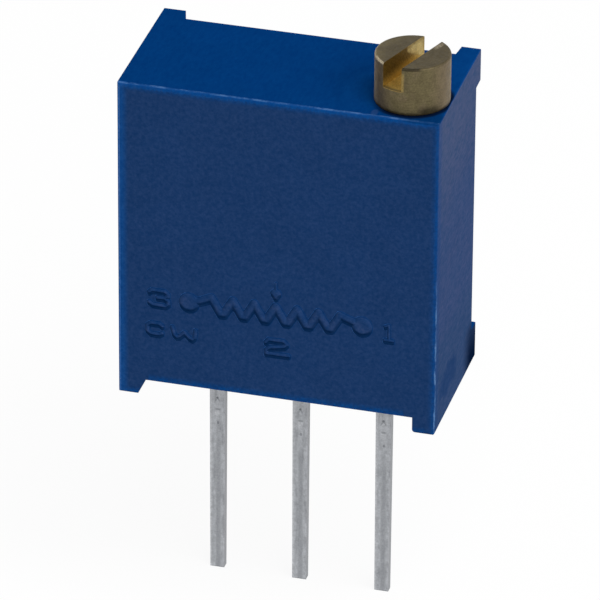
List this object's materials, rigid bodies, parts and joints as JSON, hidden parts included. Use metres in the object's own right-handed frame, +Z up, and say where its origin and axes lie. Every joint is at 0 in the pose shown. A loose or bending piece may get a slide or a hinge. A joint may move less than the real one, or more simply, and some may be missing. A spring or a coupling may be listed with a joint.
{
  "type": "trimmer potentiometer",
  "caption": "Square sealed multi-turn trimmer potentiometer with a slotted brass adjusting screw on top and flat in-line terminals underneath.",
  "frame": {"origin": "on the middle terminal's centre line, in the plane of the stand-off feet's soles, where the circuit board's top lies", "axes": "+X to the right along the terminal row, seen from the front; +Y to the back, away from the marked front face; +Z up, along the adjusting screw"},
  "size_m": [0.0096, 0.0049, 0.019],
  "materials": {
    "housing_plastic": "fine matt moulded blue",
    "pin_steel": "drawn steel wire",
    "alumina": "white alumina",
    "cermet": "fired dark film",
    "conductor_film": "fired silver film",
    "tinned_metal": "tinned, satin",
    "solder": "satin solder",
    "seal_epoxy": "cast epoxy, dark blue",
    "screw_brass": "turned brass, dulled, bright in the slot",
    "seal_rubber": "black rubber",
    "gear_plastic": "natural white moulded plastic",
    "contact_metal": "rolled spring alloy"
  },
  "bodies": {
    "root": {"housing": "housing_plastic", "screw_retaining_pin": "pin_steel", "ceramic_substrate": "alumina", "resistive_track": "cermet", "collector": "conductor_film", "end_pad_left": "conductor_film", "end_pad_right": "conductor_film", "terminal_3": "tinned_metal", "terminal_2": "tinned_metal", "terminal_1": "tinned_metal", "solder_joint_3": "solder", "solder_joint_2": "solder", "solder_joint_1": "solder", "back_seal": "seal_epoxy"},
    "screw": {"adjusting_screw": "screw_brass", "screw_seal_ring": "seal_rubber"},
    "gear": {"wiper_gear": "gear_plastic", "wiper_spring": "contact_metal"}
  },
  "joints": [
    {"name": "screw_turn", "type": "hinge", "parent": "root", "child": "screw", "pos_m": [0.00363, -0.00158, 0.00534], "axis": [0, 0, 1], "range_deg": [-4500, 4500]},
    {"name": "gear_turn", "type": "hinge", "parent": "root", "child": "gear", "pos_m": [0, -0.00158, 0.00534], "axis": [0, 1, 0], "range_deg": [-150, 150]}
  ],
  "couplings": [
    {"joint": "gear_turn", "follows": "screw_turn", "ratio": 0.033333}
  ]
}
